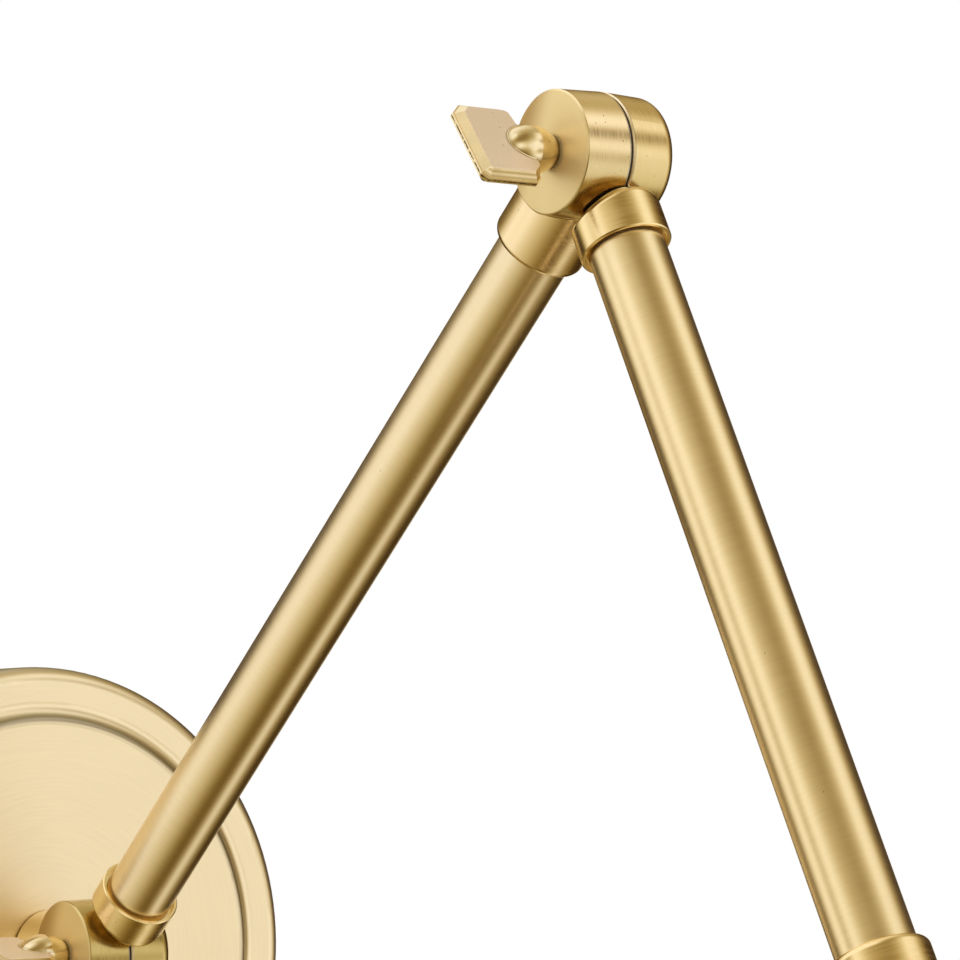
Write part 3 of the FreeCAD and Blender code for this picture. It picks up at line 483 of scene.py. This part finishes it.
def turned_lines_group():
    """Fine lines round an axis, as turning and brushing on a lathe leave them.

    The line coordinate is the way along the axis plus the radius, so that walls get hoops and
    faces get rings; round the axis the pattern changes slowly.
    """
    group, given, made = new_group("turned_lines", "NodeSocketVector", ("Spot", "Axis"),
                                   ("Height", "Tone"))
    spot, axis = given.outputs[:2]
    away = away_from(group, spot)
    ahead = along(group, away, axis)
    outward = vector_node(group, "SUBTRACT", away, vector_node(group, "SCALE", axis, scale=ahead))
    line = math_node(group, "ADD", ahead, vector_node(group, "LENGTH", outward))
    brush_marks(group, made, outward, axis, line)
    return group


def straight_lines_group():
    """Fine straight lines on a flat face, as a belt leaves them along one direction."""
    group, given, made = new_group("straight_lines", "NodeSocketVector", ("Along", "Over"),
                                   ("Height", "Tone"))
    place = object_place(group)
    ahead, over = given.outputs[:2]
    run = vector_node(group, "SCALE", ahead, scale=along(group, place, ahead))
    brush_marks(group, made, run, over, along(group, place, over))
    return group


def pits_group():
    """Casting grain as a height, broad patches, and a mask of a few small dark pits."""
    group, given, made = new_group("pits", "NodeSocketFloat", ("Grain", "Share"),
                                   ("Height", "Patch", "Spots"))
    grain, share = given.outputs[:2]
    place = object_place(group)
    near = math_node(group, "DIVIDE", 1.0, grain)
    for label, size, detail in (("Height", 1.0, GRAIN_DETAIL), ("Patch", PATCH_SCALE, PATCH_DETAIL)):
        noise = node(group, "ShaderNodeTexNoise")
        feed(group, noise.inputs["Vector"], place)
        feed(group, noise.inputs["Scale"], times(group, near, size))
        noise.inputs["Detail"].default_value = detail
        feed(group, made.inputs[label], noise.outputs[0])
    cells = node(group, "ShaderNodeTexVoronoi", feature="F1")
    feed(group, cells.inputs["Vector"], place)
    cells.inputs["Scale"].default_value = 1.0 / PIT_SPACING
    split = node(group, "ShaderNodeSeparateColor")
    feed(group, split.inputs[0], cells.outputs["Color"])
    chosen = math_node(group, "LESS_THAN", split.outputs[0], share)
    deep = math_node(group, "LESS_THAN", cells.outputs["Distance"], PIT_REACH)
    feed(group, made.inputs["Spots"], times(group, chosen, deep))
    return group


TURNED = turned_lines_group()
STRAIGHT = straight_lines_group()
PITS = pits_group()


def use_group(tree, group, first, second):
    """One use of a node group with its two inputs in order; returns its outputs."""
    used = node(tree, "ShaderNodeGroup", node_tree=group)
    used.inputs[0].default_value = first
    used.inputs[1].default_value = second
    return list(used.outputs)


def bump(tree, height, depth, under=None):
    """Normal of a bump of the given depth, on top of another normal if one is given."""
    made = node(tree, "ShaderNodeBump")
    for label, value in (("Height", height), ("Distance", depth), ("Normal", under)):
        feed(tree, made.inputs[label], value)
    return made.outputs[0]


def satin_brass(name, marks, tone, satin=SATIN, pits=SATIN_PITS, depth=MARK_DEPTH,
                knuckle=None, ring=None, paint=None):
    """Brushed and lacquered brass.

    marks makes the height and tone of the brush marks, and depth is how deep they are. satin is the
    range of roughness, pits the share of places that hold a pit. knuckle makes the masks of a
    knuckle half: painted shade in its crevice, a painted highlight on the lip and the dark seam at
    the parting line, the flat face and painted shade on one side of that face. ring makes the mask
    of painted shade in the backplate's step and at its outer edge, paint that of white enamel.
    """
    material, tree, shader = new_material(name)
    height, streak = marks(tree)
    patch, spots = use_group(tree, PITS, BRASS_GRAIN, pits)[1:]
    blend = math_node(tree, "ADD", times(tree, streak, STREAK_WEIGHT), times(tree, patch, PATCH_WEIGHT))
    colour = mix_colours(tree, ramp(tree, blend, NOISE_LOW, NOISE_HIGH), shade_of(tone, STREAK_SHADE), tone)
    colour = mix_colours(tree, spots, colour, shade_of(tone, PIT_SHADE))
    roughness = ramp(tree, blend, NOISE_LOW, NOISE_HIGH, *satin)
    metal = 1.0
    if ring is not None:
        # painted shade in the backplate's step and at its outer edge
        colour = mix_colours(tree, ring(tree), colour, shade_of(tone, STEP_PAINTED_SHADE))
    if knuckle is not None:
        crevice, lip, seam, face, painted_face_shade = knuckle(tree)
        # painted shade in the crevices towards the collars
        colour = mix_colours(tree, crevice, colour, shade_of(tone, CREVICE_PAINTED_SHADE))
        # painted highlight on the lip beside the parting line
        colour = mix_colours(tree, lip, colour, LIP_PAINTED_HIGHLIGHT)
        colour = mix_colours(tree, seam, colour, shade_of(tone, SEAM_SHADE))
        colour = mix_colours(tree, times(tree, face, FACE_COVER), colour, FACE_TONE)
        # painted shade on one side of the flat face
        colour = mix_colours(tree, painted_face_shade, colour, shade_of(tone, FACE_PAINTED_SHADE))
        roughness = mix_numbers(tree, lip, mix_numbers(tree, face, roughness, FACE_ROUGH), LIP_ROUGH)
        metal = mix_numbers(tree, face, 1.0, FACE_METAL)
    if paint is not None:
        painted = paint(tree)
        colour = mix_colours(tree, painted, colour, ENAMEL)
        roughness = mix_numbers(tree, painted, roughness, ENAMEL_ROUGH)
        metal = math_node(tree, "SUBTRACT", 1.0, painted)
    feed(tree, shader.inputs["Base Color"], colour)
    feed(tree, shader.inputs["Roughness"], roughness)
    feed(tree, shader.inputs["Metallic"], metal)
    level = math_node(tree, "SUBTRACT", height, times(tree, spots, PIT_SINK))
    feed(tree, shader.inputs["Normal"], bump(tree, level, depth))
    return material


def key_masks(tree, spot, lean, grain):
    """Masks on a key: sandy faces, boss, spotted parting line, painted shade in stripes on the lower
    bevel, and painted shade at the rim and crease.

    off is the distance from the blade's middle plane, out the way along the hinge line, over the
    way across the blade. The rim is painted shade on the sandy face round the bead, and the crease
    painted shade on the boss above it. The distance to the boss is the distance to the circle that
    its side is turned from, in the half plane through the hinge line.
    """
    away = away_from(tree, spot)
    off = math_node(tree, "ABSOLUTE", along(tree, away, lean))
    out = along(tree, away, -ACROSS)
    over = along(tree, away, lean.cross(ACROSS))
    arc = node(tree, "ShaderNodeCombineXYZ")
    feed(tree, arc.inputs[0], math_node(tree, "SUBTRACT", out, BOSS_SWELL))
    feed(tree, arc.inputs[1], math_node(tree, "ADD", radius_about(tree, away, ACROSS), BOSS_SINK))
    apart = math_node(tree, "SUBTRACT", vector_node(tree, "LENGTH", arc.outputs[0]), BOSS_ROUND)
    paddle = math_node(tree, "GREATER_THAN", out, PADDLE_HEEL)
    sandy = times(tree, math_node(tree, "COMPARE", off, PADDLE_FACE, PADDLE_SLACK), paddle)
    boss = math_node(tree, "GREATER_THAN", off, PADDLE_FACE + PADDLE_SLACK)
    line = times(tree, math_node(tree, "LESS_THAN", off, PARTING_HALF), paddle)
    line = times(tree, line, ramp(tree, grain, *PARTING_GRAIN))
    lower = times(tree, math_node(tree, "GREATER_THAN", over, LOWER_BEVEL),
                  math_node(tree, "LESS_THAN", off, PADDLE_FACE - PADDLE_SLACK))
    # painted shade in stripes on the lower bevel
    stripes = ramp(tree, math_node(tree, "SINE", times(tree, off, BEVEL_STRIPE_TURNS)), -1.0, 1.0, *BEVEL_STRIPE_COVER)
    bevel_shade = times(tree, times(tree, lower, paddle), stripes)
    # painted shade: rim on the sandy face round the bead, crease on the boss above it
    rim = times(tree, sandy, ramp(tree, apart, BEAD_RADIUS, RIM_END, 1.0, 0.0))
    crease = times(tree, boss, ramp(tree, off, CREASE_START, CREASE_END, 1.0, 0.0))
    return sandy, boss, line, bevel_shade, rim, crease


def cast_brass(name, spot, lean):
    """Cast brass of a key: sandy blade, polished bevels with painted shade in stripes on the lower one,
    uneven boss, and painted shade where blade and boss meet.
    """
    material, tree, shader = new_material(name)
    grain, patch, spots = use_group(tree, PITS, CAST_GRAIN, CAST_PITS)
    sandy, boss, line, bevel_shade, rim, crease = key_masks(tree, spot, lean, grain)
    sand = mix_colours(tree, grain, shade_of(SANDY_TONE, SANDY_SHADE), SANDY_TONE)
    colour = mix_colours(tree, ramp(tree, patch, NOISE_LOW, NOISE_HIGH),
                         shade_of(CAST_TONE, CAST_SHADE), CAST_TONE)
    for share, tone in (
        (sandy, sand),
        # painted shade at the rim and crease by the bead
        (times(tree, rim, RIM_COVER), shade_of(CAST_TONE, RIM_PAINTED_SHADE)),
        (times(tree, crease, CREASE_COVER), shade_of(CAST_TONE, CREASE_PAINTED_SHADE)),
        # painted shade in stripes on the lower bevel
        (bevel_shade, shade_of(CAST_TONE, BEVEL_PAINTED_SHADE)),
        (spots, shade_of(CAST_TONE, CAST_PIT_SHADE)),
        (line, PARTING_TONE),
    ):
        colour = mix_colours(tree, share, colour, tone)
    feed(tree, shader.inputs["Base Color"], colour)
    shader.inputs["Metallic"].default_value = 1.0
    smooth = ramp(tree, patch, NOISE_LOW, NOISE_HIGH, *CAST_SATIN)
    feed(tree, shader.inputs["Roughness"], mix_numbers(tree, sandy, smooth, SANDY_ROUGH))
    fine = bump(tree, grain, mix_numbers(tree, sandy, POLISHED_DEPTH, CAST_DEPTH))
    feed(tree, shader.inputs["Normal"], bump(tree, times(tree, patch, boss), BOSS_DEPTH, fine))
    return material


def plain_finish(name, dark, light, metal, satin, size, depth):
    """A finish with a fine grain between two tones."""
    material, tree, shader = new_material(name)
    grain = use_group(tree, PITS, size, 0.0)[0]
    feed(tree, shader.inputs["Base Color"], mix_colours(tree, grain, dark, light))
    shader.inputs["Metallic"].default_value = metal
    feed(tree, shader.inputs["Roughness"], ramp(tree, grain, 0.0, 1.0, *satin))
    feed(tree, shader.inputs["Normal"], bump(tree, grain, depth))
    return material


def drum_share(tree, away):
    """1 within the drum about the hinge line, 0 on the collar."""
    return math_node(tree, "LESS_THAN", radius_about(tree, away, ACROSS), DRUM_RADIUS)


def face_share(tree, away):
    """1 on the flat face of the drum, 0 elsewhere."""
    return math_node(tree, "GREATER_THAN", along(tree, away, -ACROSS), FACE_START)


def hoops(spot, axis):
    """Marks of a piece turned about one axis."""
    def build(tree):
        return use_group(tree, TURNED, spot, axis)
    return build


def knuckle_marks(spot, collar_axis):
    """Hoops on the collar, hoops about the hinge line on the drum, straight marks on the flat face."""
    def build(tree):
        away = away_from(tree, spot)
        height, streak = use_group(tree, TURNED, spot, collar_axis)
        for share, (other_height, other_streak) in (
            (drum_share(tree, away), use_group(tree, TURNED, spot, ACROSS)),
            (face_share(tree, away), use_group(tree, STRAIGHT, FACE_ALONG, FACE_OVER)),
        ):
            height = mix_numbers(tree, share, height, other_height)
            streak = mix_numbers(tree, share, streak, other_streak)
        return height, streak
    return build


def knuckle_masks(spot, ways, side):
    """Masks of a knuckle half: painted shade in the crevice, painted highlight on the lip, seam, flat
    face, and painted shade on one side of that face.

    ways are the directions of the two collars; side is the half's side of the parting line,
    along the hinge line.
    """
    def build(tree):
        away = away_from(tree, spot)
        drum = drum_share(tree, away)
        face = face_share(tree, away)
        near = [ramp(tree, along(tree, away, way), CREVICE_START, CREVICE_STOP) for way in ways]
        apart = along(tree, away, ACROSS * side)
        lip = math_node(tree, "LESS_THAN", apart, LIP_END)
        seam = math_node(tree, "COMPARE", apart, LIP_END + SEAM_HALF, SEAM_HALF)
        # painted shade on one side of the flat face
        painted_face_shade = ramp(tree, along(tree, away, FACE_DARK_WAY), FACE_DARK_START, FACE_DARK_STOP)
        return (times(tree, math_node(tree, "MAXIMUM", *near), drum), times(tree, lip, drum),
                times(tree, seam, drum), face, times(tree, face, painted_face_shade))
    return build


def painted_step_shade(tree):
    """Mask of painted shade: a dark ring at the foot of the backplate's step, and its outer edge."""
    radius = radius_about(tree, object_place(tree), OUT)
    apart = math_node(tree, "ABSOLUTE", math_node(tree, "SUBTRACT", radius, RECESS_RADIUS))
    edge = ramp(tree, radius, EDGE_START, EDGE_END)
    return math_node(tree, "MAXIMUM", ramp(tree, apart, 0.0, RECESS_HALF, 1.0, 0.0), edge)


def lined(tree):
    """Mask of the shade's inside: below the flat top, within the middle of its wall, above the rim's bead.

    The wall's middle is a quarter round under the flat top and a straight cone below that.
    """
    away = away_from(tree, HEAD)
    drop = along(tree, away, DOWN)
    rise = math_node(tree, "MAXIMUM", math_node(tree, "SUBTRACT", SHOULDER_END, drop), 0.0)
    bulge = math_node(tree, "SUBTRACT", SHOULDER_ROUND ** 2, times(tree, rise, rise))
    bulge = math_node(tree, "SQRT", math_node(tree, "MAXIMUM", bulge, 0.0))
    below = math_node(tree, "MAXIMUM", math_node(tree, "SUBTRACT", drop, SHOULDER_END), 0.0)
    run = math_node(tree, "MINIMUM", times(tree, below, CONE_SLOPE), CONE_RUN)
    wall = math_node(tree, "ADD", math_node(tree, "ADD", bulge, run), SHADE_FLAT)
    inside = math_node(tree, "LESS_THAN", radius_about(tree, away, DOWN), wall)
    middle, half = (SHADE_TOP + RIM_BEAD_START) / 2, (RIM_BEAD_START - SHADE_TOP) / 2
    return times(tree, inside, math_node(tree, "COMPARE", drop, middle, half))


def boss_bead(name, spot, lean):
    """Bead where a key's boss meets both flat faces of the blade.

    Its middle line is the boss's outline at the height of the face: the circle that the boss's
    side is turned from, then the circle of its nose, each cut at that height. A small circle
    across the middle line is carried along it, and both ends are closed flat.
    """
    turn = np.linspace(-np.pi / 2, np.pi / 2, BEAD_STEPS)
    out = BEAD_FROM + (BEAD_TO - BEAD_FROM) * np.cos(turn)
    side = np.sqrt(BOSS_ROUND ** 2 - (out - BOSS_SWELL) ** 2) - BOSS_SINK
    nose = np.sqrt(np.maximum(NOSE_ROUND ** 2 - (out - NOSE_MIDDLE) ** 2, 0.0))
    reach = np.where(out < NOSE_START, side, nose)
    width = np.sign(turn) * np.sqrt(np.maximum(reach ** 2 - PADDLE_FACE ** 2, 0.0))
    run = np.stack([np.gradient(out), np.gradient(width)], axis=1)
    run /= np.linalg.norm(run, axis=1, keepdims=True)
    ahead, over, lift = -np.array(ACROSS), np.array(lean.cross(ACROSS)), np.array(lean)
    middle = np.array(spot) + out[:, None] * ahead + width[:, None] * over
    aside = -run[:, 1:] * ahead + run[:, :1] * over
    spin = np.linspace(0.0, 2 * np.pi, BEAD_SIDES, endpoint=False)
    grid = np.arange(BEAD_STEPS * BEAD_SIDES).reshape(BEAD_STEPS, BEAD_SIDES)
    points, faces = [], []
    for face in (1, -1):
        ring = np.cos(spin)[None, :, None] * (face * lift) + np.sin(spin)[None, :, None] * aside[:, None, :]
        points.append(((middle + face * PADDLE_FACE * lift)[:, None, :] + BEAD_RADIUS * ring).reshape(-1, 3))
        beside = np.roll(grid, -1, axis=1)
        walls = np.stack([grid[:-1], beside[:-1], beside[1:], grid[1:]], axis=-1).reshape(-1, 4)
        faces += walls[:, ::face].tolist() + [grid[0, ::-face].tolist(), grid[-1, ::face].tolist()]
        grid = grid + grid.size
    mesh = bpy.data.meshes.new(name)
    mesh.from_pydata(np.concatenate(points).tolist(), [], faces)
    mesh.polygons.foreach_set("use_smooth", [len(corners) == 4 for corners in faces])
    bead = bpy.data.objects.new(name, mesh)
    bpy.context.scene.collection.objects.link(bead)
    return bead


def satin_finishes():
    """Finishes of the turned pieces and the knuckle halves in satin brass."""
    knob = middle_of("switch_knob")
    finishes = {
        "backplate": satin_brass("satin_brass_plate", hoops(Vector(), OUT), PLATE_TONE, PLATE_SATIN,
                                 pits=0.0, depth=SOFT_DEPTH, ring=painted_step_shade),
        "base_stem": satin_brass("satin_brass_stem", hoops(Vector(), OUT), TUBE_TONE),
        "lower_arm_tube": satin_brass("satin_brass_lower_tube", hoops(BASE, LOWER), TUBE_TONE,
                                      TUBE_SATIN, pits=TUBE_PITS, depth=SOFT_DEPTH),
        "upper_arm_tube": satin_brass("satin_brass_upper_tube", hoops(ELBOW, UPPER), UPPER_TUBE_TONE,
                                      TUBE_SATIN, pits=TUBE_PITS, depth=SOFT_DEPTH),
        "shade": satin_brass("satin_brass_shade", hoops(HEAD, DOWN), HEAD_TONE, SHADE_SATIN, paint=lined),
        "switch_knob": satin_brass("satin_brass_knob", hoops(knob, ACROSS), HEAD_TONE),
    }
    upright = satin_brass("satin_brass_head", hoops(HEAD, DOWN), HEAD_TONE)
    for name in ("head_stem", "socket_cup", "shade_ring"):
        finishes[name] = upright
    tones = {"base_knuckle_inner": BASE_TONE, "base_knuckle_outer": BASE_TONE,
             "elbow_knuckle_inner": ELBOW_INNER_TONE}
    for joint, spot, inner, outer, _ in JOINTS:
        for half, way, side in (("inner", inner, -1.0), ("outer", outer, 1.0)):
            name = joint + "_knuckle_" + half
            finishes[name] = satin_brass("satin_brass_" + name, knuckle_marks(spot, way),
                                         tones.get(name, KNUCKLE_TONE), pits=KNUCKLE_PITS,
                                         knuckle=knuckle_masks(spot, (inner, outer), side))
    return finishes


def plain_finishes():
    """Finishes of the washers, rings, hardware and lamp holder."""
    steel = plain_finish("zinc_steel", *ZINC_STEEL)
    bare = plain_finish("bare_brass", *BARE_BRASS)
    shaded_washers = plain_finish("painted_shade_washer", *WASHER_PAINTED_SHADE)
    fibre = plain_finish("ring_fibre", *RING_FIBRE)
    finishes = {
        "ground_screw": plain_finish("earth_green", *EARTH_GREEN),
        "socket_body": plain_finish("glazed_ceramic", *GLAZED_CERAMIC),
        "socket_shell": bare,
        "socket_contact": bare,
    }
    for name in ("crossbar", "backplate_side_screws", "backing_plate", "stem_nipple", "stem_lock_washer",
                 "stem_locknut", "cup_locknut", "switch_nut", "switch_bushing"):
        finishes[name] = steel
    for joint in ("base", "elbow", "head"):
        # key washers dark as painted shade in the gap behind the boss
        finishes[joint + "_key_washer"] = shaded_washers
        finishes[joint + "_friction_ring"] = fibre
    return finishes


def dress_keys():
    """Gives each key its bead; returns the keys' finishes."""
    polished = plain_finish("polished_bead", shade_of(CAST_TONE, BEAD_DARK_SHADE), CAST_TONE, 1.0,
                            BEAD_SATIN, BEAD_GRAIN, BEAD_DEPTH)
    finishes = {}
    for joint, spot, _, _, degrees in JOINTS:
        lean = Vector((0.0, math.cos(math.radians(degrees)), math.sin(math.radians(degrees))))
        finishes[joint + "_key"] = cast_brass("cast_brass_" + joint, spot, lean)
        bead = boss_bead(joint + "_boss_bead", spot, lean)
        bead.data.materials.append(polished)
        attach(bead, joint + "_key_turn")
    return finishes


def dress():
    """Gives every CAD node its finish, and the keys their beads."""
    finishes = {**satin_finishes(), **plain_finishes(), **dress_keys()}
    for name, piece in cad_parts.items():
        piece.data.materials.clear()
        piece.data.materials.append(finishes[name])


bpy.context.scene.view_settings.view_transform = "Standard"
place_camera()
light_studio()
lay_floor()
dress()
